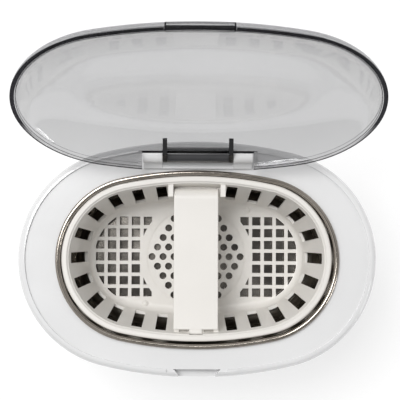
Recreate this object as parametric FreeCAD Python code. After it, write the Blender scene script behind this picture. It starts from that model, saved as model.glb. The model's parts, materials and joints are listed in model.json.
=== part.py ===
"""Ultrasonic cleaner, 600 ml size: an oval white housing with a steel tank, a lift-out basket,
a bridge across the basket and a smoked lid on a rear hinge. Millimetres, +Z up, front towards -Y.

Pieces are worked out about the middle of the housing's base. write() then moves them back by
ORIGIN_BACK, which puts the origin under the middle of the whole object with its lid open.
"""
import FreeCAD, Part
import math
import os

from FreeCAD import Vector as V

# ---- driving dimensions -----------------------------------------------------------------------
ORIGIN_BACK = 25.7          # from the housing's middle to the origin, towards the rear

# housing
DECK_Z = 104.0              # top deck above the table
DECK_OVAL = (101.8, 65.6, 60.7)   # half length, half depth and end radius of the deck's edge line
SHOULDER_OUT = 4.2          # how far the shoulder stands outside the deck's edge line
SHOULDER_R = 3.9
SHOULDER_Z = 90.0           # height where the wall is widest
STEP_UP = 1.2               # the shoulder's inner edge above the deck
BASE_Z = 14.0               # joint between the housing and the bottom cover
BASE_IN = 5.0               # how far the wall draws in from the shoulder to the base
WALL = 2.6
FOOT_H = 4.0

# finger recess in the front shoulder
NOTCH_W = 28.0
NOTCH_H = 9.0
NOTCH_Y = -64.9
NOTCH_CHAMFER = 3.0

# tank
TANK_RIM = (83.8, 52.75, 49.1)
TANK_Y = -0.3
TANK_RIM_W = 2.9
TANK_RIM_H = 2.0
TANK_RIM_R = 1.35           # rounding of the rolled rim
TANK_DEPTH = 53.0           # inside depth below the deck
TANK_T = 0.8
TANK_TAPER = 2.5            # how far the wall draws in from top to floor
TANK_FLOOR_R = 9.0
GASKET_H = 0.6

# hinge, about an axis along X
HINGE_Y = 61.0
HINGE_Z = DECK_Z + 9.4
BARREL_R = 4.6
BARREL_HALF = 20.4
CHEEK_R = 4.5
CHEEK_HEEL = (4.0, 2.8)      # the cheek's front corner, forward of and below the axis
CHEEK_IN = 20.8
CHEEK_OUT = 31.8
BLOCK_FRONT_Y = 53.4
BLOCK_BASE_H = 3.0
BRACKET_GAP = 0.2           # between the bracket's rear and the deck's step
BRACKET_SCREW_X = (-26.0, 26.0)
BRACKET_SCREW_Y = 58.0
BRACKET_SCREW_TOP = DECK_Z + 5.5
PIN_R = 1.5
PIN_HALF = 28.0
RUNNING_GAP = 0.05

# lid, modelled shut and then swung open
LID_OVAL = (101.2, 65.0, 60.1)
LID_H = 16.0
LID_CROWN_IN = 40.0         # how far in from the rim the flat crown starts
LID_T = 2.2
LID_GAP = 0.4               # under the rim when shut
LID_OPEN_DEG = 120.4
RIM_W = 3.2
RIM_H = 2.4
CUT_HALF = 32.4             # half width of the cut-out round the hinge bracket
CUT_FRONT_Y = 55.9
WEB_T = 1.8
WEB_LOW = 7.4               # the front web's bottom above the deck, clear of the bracket
WEB_CLEAR = 9.0             # how far forward of the cut-out the rim is open under the web
RIB_T = 2.6
RIB_FRONT_Y = 46.8
TAB_HALF = 17.5
TAB_OUT = 0.9
TAB_NOTCH = 1.2
TAB_CHAMFER = 0.7
TAB_CLEAR = 0.6

# basket
BASKET_GAP = 0.9            # all round, between the basket's flange and the tank, when centred
BASKET_RIM = tuple(size - TANK_RIM_W - BASKET_GAP for size in TANK_RIM)
BASKET_X = -0.4             # the loose basket sits a little left of and behind the tank's middle
BASKET_Y = 0.3
BASKET_TOP = DECK_Z + 0.6
BASKET_FLANGE = 4.0
BASKET_FLANGE_H = 3.2
BASKET_FLANGE_R = 1.2
BASKET_STEP = (1.0, 1.2)    # width and depth of the step at the flange's inner edge
BASKET_T = 1.5
BASKET_FLOOR_Z = DECK_Z - 48.0
BASKET_DRAW_IN = 9.5        # how far the wall draws in from flange to floor
SLOT_W = 6.4
SLOT_TOP = BASKET_TOP - 6.5
SLOT_BOTTOM = BASKET_FLOOR_Z + 7.0
SLOTS_A_SIDE = 11
SLOT_SPAN_X = 21.0          # the end slots' distance from the middle
GRID_PITCH = 7.5
GRID_HOLE = 5.3
GRID_ROWS = 7
GRID_COLUMNS = range(-1, 4)  # counted outwards from the first full column
GRID_FIRST_X = 38.0
GRID_CLIP_X = 34.4          # the grid's rounded outline: a circle about this place
GRID_CLIP_R = 29.5
GRID_INNER_R = 35.6         # and clear of this radius about the middle
DISC_R = 30.9
DISC_GROOVE_W = 0.7
DISC_GROOVE_D = 0.5
ROUND_PITCH = 6.95
ROUND_D = 4.4
ROUND_RINGS = 4
BASKET_FOOT_R = 2.6
BASKET_FOOT_XY = (32.0, 29.6)
GUIDE_X = (14.0, 17.0)
GUIDE_Y = (37.0, 45.4)
BASKET_FLOOR_R = 5.0
BASKET_FOOT_Z = DECK_Z - TANK_DEPTH
SLOT_REACH = 9.0
SHELF_H = 2.0

# bridge
BRIDGE_HALF = 13.2
BRIDGE_T = 2.2
BRIDGE_TOP = DECK_Z - 2.6
BRIDGE_X = -0.4             # the bridge lies towards the left of its guides
BRIDGE_FRONT_Y = -41.6
BRIDGE_REAR_Y = 41.9
BRIDGE_BEND_R = 6.0
BRIDGE_DROP = 6.0
BRIDGE_SEAT_GAP = 0.1       # under the bridge where it rests
BRIDGE_EDGE_R = 0.6
TONGUE_HALF = 3.6
TONGUE_OUT = 2.6
TONGUE_DOWN = 0.3
TONGUE_CLEAR = 0.5
LEDGE_SPAN = (-3.0, 2.0)    # the front ledge, before and behind the bridge's front edge
DRAIN_X = (4.4, 10.2)
DRAIN_Y = (-43.4, -42.0)

# front panel and buttons
PANEL_W = 92.0
PANEL_Z = (34.0, 66.0)
PANEL_T = 2.0
PANEL_CLEAR = 0.3
BUTTON_R = 5.0
BUTTON_X = (-31.0, 16.0, 30.0)
BUTTON_TRAVEL = 1.2
BUTTON_PROUD = 1.6
DISPLAY_X = (-19.0, 7.0)
DISPLAY_Z = (42.0, 58.0)
LEDGE_T = 2.0               # the step behind the panel that it rests on
LEDGE_OUT = 4.0
FRONT_SPAN = (-90.0, -50.0)
BUTTON_Z = 50.0
BUTTON_NAMES = ("button_power", "button_minus", "button_plus")
BUTTON_LENGTH = 6.4
BUTTON_EDGE_R = 0.7
COLLAR_T = 1.0
COLLAR_OUT = 1.4
STEM_R = 1.8
BOARD_Y = -53.0             # front face of the control board
BOARD_HALF = 42.0
BOARD_IN = 2.0              # the board's top and bottom edges inside the panel's
CLIP_W = 4.0
CLIP_H = 10.0
SWITCH_W = 6.0
CHIP = (12.0, 8.0, 2.0)     # width, height and thickness
PLUG = (12.0, 6.0, 6.0)
PLUG_X = -30.0
SOLDER = 0.5                # how far board parts reach into the board
SWITCH_FRONT_Y = BOARD_Y - 1.6
DISPLAY_DEPTH = 7.0
MODULE_IN = 1.0             # the display module inside its window
PCB_T = 1.6

# base, posts and screws
POST_XY = (88.0, 21.0)
POST_R = 4.0
POST_Z = 9.0
SCREW_R = 1.45
SCREW_BITE = 11.0
SCREW_HEAD_R = 2.8
SCREW_HEAD_H = 2.0
CROSS_HALF = (1.6, 0.35)    # half length and half width of the cross in a screw's head
COVER_EDGE_R = 3.0
COVER_LIP_T = 1.6
LIP_RISE = 3.0
FOOT_XY = (62.0, 40.0)
FOOT_R = 8.0
FOOT_PEG_R = 2.5
FOOT_EDGE_R = 0.8
VENTS = 9
VENT_PITCH = 5.5
VENT_W = 2.4
VENT_X = (34.0, 66.0)
TANK_HOLE = tuple(size - TANK_RIM_W + 1.2 for size in TANK_RIM)   # in the deck, round the tank's wall

# driver board and what stands on it
BOARD_Z = 11.0
BOARD_X = (-78.0, -28.0)
BOARD_HALF_Y = 32.0
STAND_R = 2.8
SMALL_SCREW_R = 1.2
SMALL_SCREW_BITE = 4.0
BOARD_HOLE_IN = 4.0         # the board's screws from its edges
TRANSFORMER_AT = (-52.0, 14.0)
CORE = (22.0, 12.0, 18.0)
CORE_WINDOW = (14.0, 12.0)  # width and height
COIL_R = 9.0
BOBBIN = (22.0, 18.0, 2.0)
HEATSINK_AT = (-55.0, -20.0)
HEATSINK = (30.0, 9.0, 22.0)
HEATSINK_WEB = 2.4
FINS = 7
FIN_T = 1.4
TRANSISTOR = (10.0, 4.5, 15.0)
TRANSISTOR_Z = 4.0
LEADS = (6.4, 0.6)
LEADS_Y = -2.5              # the transistor's leads from the heatsink's web
CAPACITOR_EDGE_R = 0.8
CAPACITORS = (              # x, y, radius and height
    (-70.0, 2.0, 5.0, 15.0),
    (-38.0, -2.0, 4.0, 12.0),
    (-70.0, 16.0, 4.0, 10.0),
    (-48.0, -4.0, 3.2, 9.0),
)

# transducer
HORN_H = 13.0
HORN_R = 22.0
RING_R = 17.5
HORN_FLARE = 1.5            # the horn's narrow end, and the back mass, outside the rings
RING_H = 4.5
ELECTRODE_T = 0.4
TAG = (2.0, 6.0, 5.0)       # a solder tag's reach inside and outside the ring, and its width
BACK_H = 11.0
STACK_BORE_R = 4.2
BOLT_R = 4.0
BOLT_BITE = 8.0
BOLT_HEAD_R = 6.5
BOLT_HEAD_H = 4.5
BOLT_KEY = (3.0, 3.0)       # corner radius and depth of the hexagon socket

# power inlet, two-pin
INLET_SIZE = (22.0, 12.0)
INLET_Z = 30.0
INLET_SEAT_Y = 64.4
INLET_DEPTH = 17.0
INLET_FLANGE = 2.6
INLET_FLANGE_T = 1.6
INLET_CORNER_R = 2.0
INLET_BACK_T = 2.0
INLET_TAG = (2.4, 5.0, 0.8)
INLET_MOUTH = (17.0, 8.6)
INLET_PIN_R = 1.2
INLET_PIN_X = 4.3
BIG = 400.0


# ---- small builders ---------------------------------------------------------------------------
def inset(oval, by):
    """The same oval with its outline moved in (or out, when by is negative)."""
    return tuple(size - by for size in oval)


def side_arc(oval):
    """The radius of an oval's long arcs, and the half angle in radians of its end arcs."""
    a, b, r = oval
    side_r = ((a - r) ** 2 + b * b - r * r) / (2 * (b - r))
    return side_r, math.atan2(side_r - b, a - r)


def oval_wire(oval, z, y=0.0):
    """An oval of four tangent arcs: half length a, half depth b and end radius r."""
    a, b, r = oval
    turn = side_arc(oval)[1]
    corner = V(a - r + r * math.cos(turn), r * math.sin(turn), 0)

    def at(px, py):
        return V(px, py + y, z)

    arcs = [
        Part.Arc(at(corner.x, -corner.y), at(a, 0), at(corner.x, corner.y)),
        Part.Arc(at(corner.x, corner.y), at(0, b), at(-corner.x, corner.y)),
        Part.Arc(at(-corner.x, corner.y), at(-a, 0), at(-corner.x, -corner.y)),
        Part.Arc(at(-corner.x, -corner.y), at(0, -b), at(corner.x, -corner.y)),
    ]
    return Part.Wire([arc.toShape() for arc in arcs])


def oval_slab(oval, low, high, y=0.0):
    return Part.Face(oval_wire(oval, low, y)).extrude(V(0, 0, high - low))


def oval_taper(low_oval, low, high_oval, high, y=0.0):
    return Part.makeLoft([oval_wire(low_oval, low, y), oval_wire(high_oval, high, y)], True, True)


def box(x, y, z):
    """A box from three (low, high) pairs."""
    return Part.makeBox(x[1] - x[0], y[1] - y[0], z[1] - z[0], V(x[0], y[0], z[0]))


def block(size, middle_x, y, low):
    """A box of that width, depth and height, centred in X and standing on low, from y backwards."""
    return box((middle_x - size[0] / 2, middle_x + size[0] / 2), (y, y + size[1]), (low, low + size[2]))


def rod(radius, start, end):
    start = V(*start)
    along = V(*end) - start
    return Part.makeCylinder(radius, along.Length, start, along)


def ring(radius, bore, low, high):
    """A flat ring about the Z axis."""
    return rod(radius, (0, 0, low), (0, 0, high)).cut(rod(bore, (0, 0, low - 1), (0, 0, high + 1)))


def prism_x(points, x):
    """A closed outline of (y, z) points pushed along X from x[0] to x[1]."""
    wire = Part.makePolygon([V(x[0], py, pz) for py, pz in points + points[:1]])
    return Part.Face(wire).extrude(V(x[1] - x[0], 0, 0))


def fused(shapes):
    return shapes[0].multiFuse(shapes[1:]).removeSplitter()


def top_edges(shape, z):
    return [e for e in shape.Edges if abs(e.BoundBox.ZMin - z) < 0.01 and e.BoundBox.ZLength < 0.01]


def swing_open(shape):
    return shape.rotated(V(0, HINGE_Y, HINGE_Z), V(1, 0, 0), -LID_OPEN_DEG)


def write(name, shape):
    shape = shape.translated(V(0, -ORIGIN_BACK, 0))
    if not shape.isValid():
        print("not valid:", name)
    shape.exportStep(f"parts/{name}.step")
    print(f"{name:24s} solids {len(shape.Solids)}  volume {shape.Volume / 1000:8.2f} cm3")


# ---- housing ----------------------------------------------------------------------------------
def housing_outer(shrink, low, high, round_top):
    widest = inset(DECK_OVAL, shrink - SHOULDER_OUT)
    base = inset(widest, BASE_IN)
    upper = oval_slab(widest, SHOULDER_Z, high)
    if round_top:
        upper = upper.makeFillet(SHOULDER_R, top_edges(upper, high))
    return fused([oval_taper(base, low, widest, SHOULDER_Z), upper])


def hinge_bracket():
    """The bracket on the deck: a base and two cheeks that hold the pin, trimmed to the deck's edge."""
    base = box((-CHEEK_OUT, CHEEK_OUT), (BLOCK_FRONT_Y, HINGE_Y + CHEEK_R), (DECK_Z, DECK_Z + BLOCK_BASE_H))
    parts = [base]
    for side in (-1, 1):
        x = sorted((side * CHEEK_IN, side * CHEEK_OUT))
        outline = [
            (BLOCK_FRONT_Y, DECK_Z),
            (BLOCK_FRONT_Y, DECK_Z + BLOCK_BASE_H),
            (HINGE_Y - CHEEK_HEEL[0], HINGE_Z - CHEEK_HEEL[1]),
            (HINGE_Y - CHEEK_R, HINGE_Z),
            (HINGE_Y + CHEEK_R, HINGE_Z),
            (HINGE_Y + CHEEK_R, DECK_Z),
        ]
        parts.append(prism_x(outline, x))
        parts.append(rod(CHEEK_R, (x[0], HINGE_Y, HINGE_Z), (x[1], HINGE_Y, HINGE_Z)))
    bracket = fused(parts).common(oval_slab(inset(DECK_OVAL, BRACKET_GAP), DECK_Z, BIG))
    bracket = bracket.cut(rod(PIN_R, (-PIN_HALF, HINGE_Y, HINGE_Z), (PIN_HALF, HINGE_Y, HINGE_Z)))
    for x in BRACKET_SCREW_X:
        hole_top = (x, BRACKET_SCREW_Y, BRACKET_SCREW_TOP + 0.5)
        bracket = bracket.cut(rod(SCREW_R, (x, BRACKET_SCREW_Y, 0), hole_top))
    return bracket


def bracket_screws():
    """Two screws up through the deck into the bracket."""
    screws = []
    for x in BRACKET_SCREW_X:
        seat = DECK_Z - WALL
        head = rod(SCREW_HEAD_R, (x, BRACKET_SCREW_Y, seat - SCREW_HEAD_H), (x, BRACKET_SCREW_Y, seat))
        shank = rod(SCREW_R, (x, BRACKET_SCREW_Y, seat - 1), (x, BRACKET_SCREW_Y, BRACKET_SCREW_TOP))
        screws.append(fused([head, shank]))
    return Part.makeCompound(screws)


def finger_notch():
    top = DECK_Z + STEP_UP + 1.0
    half = NOTCH_W / 2
    outline = [
        V(-half, NOTCH_Y, 0), V(half, NOTCH_Y, 0),
        V(half - NOTCH_CHAMFER, NOTCH_Y - NOTCH_CHAMFER, 0), V(half - NOTCH_CHAMFER, -BIG / 4, 0),
        V(-half + NOTCH_CHAMFER, -BIG / 4, 0), V(-half + NOTCH_CHAMFER, NOTCH_Y - NOTCH_CHAMFER, 0),
    ]
    for point in outline:
        point.z = top - NOTCH_H
    return Part.Face(Part.makePolygon(outline + outline[:1])).extrude(V(0, 0, NOTCH_H))


def tab_recess():
    """Where the deck's step makes way for the shut lid's tab."""
    half = TAB_HALF + TAB_CLEAR
    front = -LID_OVAL[1] - TAB_OUT - TAB_CLEAR
    return box((-half, half), (front, NOTCH_Y + WALL), (DECK_Z, DECK_Z + STEP_UP + 1))


def panel_outline(grow, y):
    """The front panel's opening, with half-round ends, in a plane facing the front."""
    low, high = PANEL_Z[0] - grow, PANEL_Z[1] + grow
    middle = (low + high) / 2
    radius = (high - low) / 2
    flat = PANEL_W / 2 + grow - radius
    edges = [
        Part.LineSegment(V(-flat, y, low), V(flat, y, low)).toShape(),
        Part.Arc(V(flat, y, low), V(flat + radius, y, middle), V(flat, y, high)).toShape(),
        Part.LineSegment(V(flat, y, high), V(-flat, y, high)).toShape(),
        Part.Arc(V(-flat, y, high), V(-flat - radius, y, middle), V(-flat, y, low)).toShape(),
    ]
    return Part.Face(Part.Wire(edges))


def panel_bar(grow, y):
    return panel_outline(grow, y[0]).extrude(V(0, y[1] - y[0], 0))


def front_shell(outer_in, inner_in):
    """The layer of the housing's wall between two depths below its surface."""
    low, high = BASE_Z, DECK_Z
    return housing_outer(outer_in, low, high, False).cut(housing_outer(inner_in, low, high, False))


def base_post_places():
    return [(sx * POST_XY[0], sy * POST_XY[1]) for sx in (-1, 1) for sy in (-1, 1)]


def foot_places():
    return [(sx * FOOT_XY[0], sy * FOOT_XY[1]) for sx in (-1, 1) for sy in (-1, 1)]


def upper_housing():
    top = DECK_Z + STEP_UP
    outer = housing_outer(0, BASE_Z, top, True)
    outer = outer.cut(oval_slab(DECK_OVAL, DECK_Z, top + 1))
    outer = outer.cut(finger_notch())
    outer = outer.cut(tab_recess())
    hollow = housing_outer(WALL, BASE_Z - 1, DECK_Z - WALL, False)
    shell = outer.cut(hollow)
    pocket = box((-NOTCH_W / 2 - WALL, NOTCH_W / 2 + WALL), (NOTCH_Y - WALL, NOTCH_Y + WALL),
                 (top - NOTCH_H - WALL, DECK_Z))
    shell = fused([shell, pocket.common(outer)])
    posts = [rod(POST_R, (x, y, POST_Z), (x, y, DECK_Z - WALL + 0.5)) for x, y in base_post_places()]
    ledge = front_shell(PANEL_T + PANEL_CLEAR, PANEL_T + PANEL_CLEAR + LEDGE_T)
    ledge = ledge.common(panel_bar(LEDGE_OUT, FRONT_SPAN))
    shell = fused([shell, ledge] + posts)
    for x in BRACKET_SCREW_X:
        y = BRACKET_SCREW_Y
        shell = shell.cut(rod(SCREW_R + RUNNING_GAP, (x, y, DECK_Z - 2 * WALL), (x, y, DECK_Z + 1)))
    shell = shell.cut(panel_bar(-LEDGE_OUT, FRONT_SPAN))
    shell = shell.cut(front_shell(-1, PANEL_T + PANEL_CLEAR).common(panel_bar(0, FRONT_SPAN)))
    shell = shell.cut(oval_slab(TANK_HOLE, DECK_Z - BIG / 10, DECK_Z + 1, TANK_Y))
    for x, y in base_post_places():
        shell = shell.cut(rod(SCREW_R + RUNNING_GAP, (x, y, POST_Z - 1), (x, y, POST_Z + SCREW_BITE)))
    for grow, front in ((0, INLET_SEAT_Y - INLET_DEPTH), (INLET_FLANGE, INLET_SEAT_Y)):
        half_x = INLET_SIZE[0] / 2 + PANEL_CLEAR + grow
        half_z = INLET_SIZE[1] / 2 + PANEL_CLEAR + grow
        opening = box((-half_x, half_x), (front, BIG / 4), (INLET_Z - half_z, INLET_Z + half_z))
        shell = shell.cut(opening)
    return shell


def bottom_cover():
    widest = inset(DECK_OVAL, BASE_IN - SHOULDER_OUT)
    outer = oval_slab(widest, FOOT_H, BASE_Z)
    outer = outer.makeFillet(COVER_EDGE_R, top_edges(outer, FOOT_H))
    inside = inset(widest, WALL)
    cover = outer.cut(oval_slab(inside, FOOT_H + WALL, BASE_Z + 1))
    lip_out = inset(inside, PANEL_CLEAR)
    lip = oval_slab(lip_out, FOOT_H + WALL - 0.5, BASE_Z + LIP_RISE)
    lip = lip.cut(oval_slab(inset(lip_out, COVER_LIP_T), FOOT_H, BASE_Z + LIP_RISE + 1))
    gap_filler = oval_slab(inside, FOOT_H + WALL - 0.5, BASE_Z)
    gap_filler = gap_filler.cut(oval_slab(inset(lip_out, COVER_LIP_T), FOOT_H, BASE_Z + 1))
    bosses = [rod(POST_R + 1, (x, y, FOOT_H + 1), (x, y, POST_Z)) for x, y in base_post_places()]
    stands = [rod(STAND_R, (x, y, FOOT_H + 1), (x, y, BOARD_Z)) for x, y in board_screw_places()]
    cover = fused([cover, gap_filler, lip] + bosses + stands)
    for x, y in base_post_places():
        cover = cover.cut(rod(SCREW_HEAD_R + 0.3, (x, y, 0), (x, y, FOOT_H + SCREW_HEAD_H + 0.4)))
        cover = cover.cut(rod(SCREW_R + 0.2, (x, y, 0), (x, y, POST_Z + 1)))
        relief = rod(POST_R + 0.3, (x, y, POST_Z), (x, y, BASE_Z + LIP_RISE + 1))
        cover = cover.cut(relief)
    for x, y in foot_places():
        cover = cover.cut(rod(FOOT_PEG_R, (x, y, 0), (x, y, FOOT_H + WALL + 1)))
    for x, y in board_screw_places():
        cover = cover.cut(rod(SMALL_SCREW_R, (x, y, BOARD_Z - SMALL_SCREW_BITE), (x, y, BOARD_Z + 1)))
    for i in range(VENTS):
        y = (i - (VENTS - 1) / 2) * VENT_PITCH
        vent = box((VENT_X[0], VENT_X[1]), (y - VENT_W / 2, y + VENT_W / 2), (0, FOOT_H + WALL + 1))
        cover = cover.cut(vent)
    return cover


def rubber_feet():
    feet = []
    for x, y in foot_places():
        pad = rod(FOOT_R, (x, y, 0), (x, y, FOOT_H))
        pad = pad.makeFillet(FOOT_EDGE_R, top_edges(pad, 0))
        feet.append(fused([pad, rod(FOOT_PEG_R, (x, y, FOOT_H - 1), (x, y, FOOT_H + WALL))]))
    return Part.makeCompound(feet)


def base_screws():
    screws = []
    for x, y in base_post_places():
        head_low = FOOT_H + 0.4
        head = rod(SCREW_HEAD_R, (x, y, head_low), (x, y, head_low + SCREW_HEAD_H))
        shank = rod(SCREW_R, (x, y, head_low), (x, y, POST_Z + SCREW_BITE - 1))
        cross = [
            box((x - half_x, x + half_x), (y - half_y, y + half_y), (head_low - 1, head_low + 1))
            for half_x, half_y in (CROSS_HALF, CROSS_HALF[::-1])
        ]
        screws.append(fused([head, shank]).cut(fused(cross)))
    return Part.makeCompound(screws)


# ---- tank -------------------------------------------------------------------------------------
def tank_form(grow, low, high):
    inside = inset(TANK_RIM, TANK_RIM_W - grow)
    form = oval_taper(inset(inside, TANK_TAPER), low, inside, high, TANK_Y)
    return form.makeFillet(TANK_FLOOR_R + grow, top_edges(form, low))


def tank():
    seat = DECK_Z + GASKET_H
    floor = DECK_Z - TANK_DEPTH
    wall = tank_form(TANK_T, floor - TANK_T, seat + 0.5)
    flange = oval_slab(TANK_RIM, seat, seat + TANK_RIM_H, TANK_Y)
    flange = flange.cut(oval_slab(inset(TANK_RIM, TANK_RIM_W), seat - 1, seat + TANK_RIM_H + 1, TANK_Y))
    flange = flange.makeFillet(TANK_RIM_R, top_edges(flange, seat + TANK_RIM_H))
    hollow = tank_form(0, floor, seat + 0.5)
    return fused([wall.cut(hollow), flange])


def tank_gasket():
    ring = oval_slab(TANK_RIM, DECK_Z, DECK_Z + GASKET_H, TANK_Y)
    return ring.cut(oval_slab(TANK_HOLE, DECK_Z - 1, DECK_Z + 2, TANK_Y))


# ---- lid --------------------------------------------------------------------------------------
def dome_sector(rim_r, inner_r, run, height, centre, start_deg, sweep_deg):
    """Part of the lid's dome: a quarter ellipse turned about the centre of one of the oval's arcs."""
    crown_r = rim_r - run
    ellipse = Part.Ellipse(V(rim_r, 0, 0), V(crown_r, 0, height), V(crown_r, 0, 0))
    curve = Part.ArcOfEllipse(ellipse, 0, math.pi / 2).toShape()
    ends = [vertex.Point for vertex in curve.Vertexes]
    low_end = min(ends, key=lambda point: point.z)
    high_end = max(ends, key=lambda point: point.z)
    corners = [high_end, V(inner_r, 0, height), V(inner_r, 0, 0), low_end]
    profile = Part.Face(Part.Wire([curve] + Part.makePolygon(corners).Edges))
    profile.rotate(V(0, 0, 0), V(0, 0, 1), start_deg)
    return profile.revolve(V(0, 0, 0), V(0, 0, 1), sweep_deg).translated(V(*centre))


def dome(shrink, low, height):
    """The lid's outline rising in a quarter ellipse to a flat crown."""
    oval = inset(LID_OVAL, shrink)
    end_x = oval[0] - oval[2]
    run = LID_CROWN_IN - shrink
    side_r, turn = side_arc(oval)
    side_y = side_r - oval[1]
    turn = math.degrees(turn)
    sectors = []
    for way in (1, -1):
        middle = 90 - 90 * way
        sectors.append(dome_sector(oval[2], 0, run, height, (way * end_x, 0, low), middle - turn, 2 * turn))
        first = 90 * way - 90 + turn
        side = dome_sector(side_r, side_y / 2, run, height, (0, -way * side_y, low), first, 180 - 2 * turn)
        half = sorted((0, way * BIG))
        sectors.append(side.common(box((-BIG, BIG), half, (low - 1, low + height + 1))))
    return fused(sectors)


def lid_forms():
    low = DECK_Z + LID_GAP
    return dome(0, low, LID_H), dome(LID_T, low, LID_H - LID_T)


def lid_webs(outer):
    """The walls round the cut-out for the hinge: one in front and one at each side."""
    top = DECK_Z + LID_H
    front_y = CUT_FRONT_Y - WEB_T
    half = CUT_HALF + WEB_T
    webs = [box((-half, half), (front_y, CUT_FRONT_Y), (DECK_Z + WEB_LOW, top))]
    for side in (-1, 1):
        x = sorted((side * CUT_HALF, side * half))
        webs.append(box(x, (front_y, BIG / 4), (DECK_Z + LID_GAP, top)))
    return [web.common(outer) for web in webs]


def lid_tab(low):
    """The finger tab at the lid's front, and the two notches that mark its ends."""
    y = (-LID_OVAL[1] - TAB_OUT, -LID_OVAL[1] + RIM_W + TAB_NOTCH)
    tab = box((-TAB_HALF, TAB_HALF), y, (low, low + RIM_H))
    tab = tab.makeChamfer(TAB_CHAMFER, [e for e in tab.Edges if e.BoundBox.ZLength > RIM_H / 2])
    notches = []
    for side in (-1, 1):
        x = (side * TAB_HALF - TAB_NOTCH / 2, side * TAB_HALF + TAB_NOTCH / 2)
        y = (-LID_OVAL[1] - 2 * TAB_OUT, -LID_OVAL[1] + 2 * TAB_NOTCH)
        notches.append(box(x, y, (low - 1, low + RIM_H / 2)))
    return tab, fused(notches)


def lid_shell():
    outer, inner = lid_forms()
    low = DECK_Z + LID_GAP
    rim = oval_slab(LID_OVAL, low, low + RIM_H)
    rim = rim.cut(oval_slab(inset(LID_OVAL, RIM_W), low - 1, low + RIM_H + 1))
    shell = fused([outer.cut(inner), rim.common(outer)])
    shell = shell.cut(box((-CUT_HALF, CUT_HALF), (CUT_FRONT_Y, BIG), (DECK_Z - 1, DECK_Z + BIG / 10)))
    shell = fused([shell] + lid_webs(outer))
    under_web = (CUT_FRONT_Y - WEB_CLEAR, CUT_FRONT_Y)
    shell = shell.cut(box((-CUT_HALF, CUT_HALF), under_web, (DECK_Z - 1, DECK_Z + WEB_LOW)))
    tab, notches = lid_tab(low)
    return fused([shell, tab]).cut(notches)


def lid_hinge_barrel(shell):
    """The barrel and its two ribs, which reach forward inside the lid."""
    outer, inner = lid_forms()
    barrel = rod(BARREL_R, (-BARREL_HALF, HINGE_Y, HINGE_Z), (BARREL_HALF, HINGE_Y, HINGE_Z))
    ribs = []
    for side in (-1, 1):
        x = sorted((side * (BARREL_HALF - RIB_T), side * BARREL_HALF))
        outline = [
            (HINGE_Y, HINGE_Z - BARREL_R), (HINGE_Y, HINGE_Z + BARREL_R),
            (RIB_FRONT_Y, DECK_Z + LID_H), (RIB_FRONT_Y, DECK_Z + WEB_LOW + RIB_T),
            (CUT_FRONT_Y - WEB_T, DECK_Z + WEB_LOW - RIB_T),
        ]
        blade = prism_x(outline, x)
        rear = blade.common(box((-BIG, BIG), (CUT_FRONT_Y, BIG), (0, BIG)))
        ribs += [blade.common(inner), rear.common(outer)]
    lever = fused([barrel] + ribs).cut(shell)
    return lever.cut(rod(PIN_R + RUNNING_GAP, (-BIG / 4, HINGE_Y, HINGE_Z), (BIG / 4, HINGE_Y, HINGE_Z)))


def hinge_pin():
    return rod(PIN_R, (-PIN_HALF, HINGE_Y, HINGE_Z), (PIN_HALF, HINGE_Y, HINGE_Z))


# ---- basket and bridge ------------------------------------------------------------------------
def places_round(oval, side):
    """Evenly spaced points along one end of an oval, each with its outward direction in degrees."""
    a, b, r = oval
    side_r, turn = side_arc(oval)
    first = math.acos(SLOT_SPAN_X / side_r)
    flat_run = side_r * (first - turn)
    whole = 2 * flat_run + 2 * r * turn
    for i in range(SLOTS_A_SIDE):
        along = whole * i / (SLOTS_A_SIDE - 1)
        back = whole - along
        if min(along, back) < flat_run:
            angle = first - min(along, back) / side_r
            x, y = side_r * math.cos(angle), side_r * math.sin(angle) - (side_r - b)
        else:
            angle = turn - (min(along, back) - flat_run) / r
            x, y = a - r + r * math.cos(angle), r * math.sin(angle)
        if along > back:
            angle, y = -angle, -y
        yield side * x, y, math.degrees(angle) if side > 0 else 180 - math.degrees(angle)


def basket_slots():
    middle = inset(BASKET_RIM, BASKET_FLANGE + BASKET_DRAW_IN / 2)
    slots = []
    for side in (-1, 1):
        for x, y, degrees in places_round(middle, side):
            slot = box((-SLOT_REACH, SLOT_REACH), (-SLOT_W / 2, SLOT_W / 2), (SLOT_BOTTOM, SLOT_TOP))
            slot.rotate(V(0, 0, 0), V(0, 0, 1), degrees)
            slots.append(slot.translated(V(x, y + BASKET_Y, 0)))
    return slots


def grid_holes():
    low, high = BASKET_FLOOR_Z - 2 * BASKET_T, BASKET_FLOOR_Z + 1
    half = GRID_HOLE / 2
    holes = []
    for side in (-1, 1):
        clip_x = side * GRID_CLIP_X
        outline = rod(GRID_CLIP_R, (clip_x, BASKET_Y, low), (clip_x, BASKET_Y, high))
        outline = outline.cut(rod(GRID_INNER_R, (0, BASKET_Y, low - 1), (0, BASKET_Y, high + 1)))
        for column in GRID_COLUMNS:
            for row in range(-(GRID_ROWS // 2), GRID_ROWS // 2 + 1):
                x = side * (GRID_FIRST_X + column * GRID_PITCH)
                y = row * GRID_PITCH + BASKET_Y
                square = box((x - half, x + half), (y - half, y + half), (low, high)).common(outline)
                if square.Volume > 1:
                    holes.append(square)
    return holes


def round_holes():
    holes = []
    for row in range(-ROUND_RINGS, ROUND_RINGS + 1):
        count = 2 * ROUND_RINGS + 1 - abs(row)
        for i in range(count):
            x = (i - (count - 1) / 2) * ROUND_PITCH
            y = row * ROUND_PITCH * math.sqrt(3) / 2 + BASKET_Y
            holes.append(rod(ROUND_D / 2, (x, y, BASKET_FLOOR_Z - 2 * BASKET_T), (x, y, BASKET_FLOOR_Z + 1)))
    return holes


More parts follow.
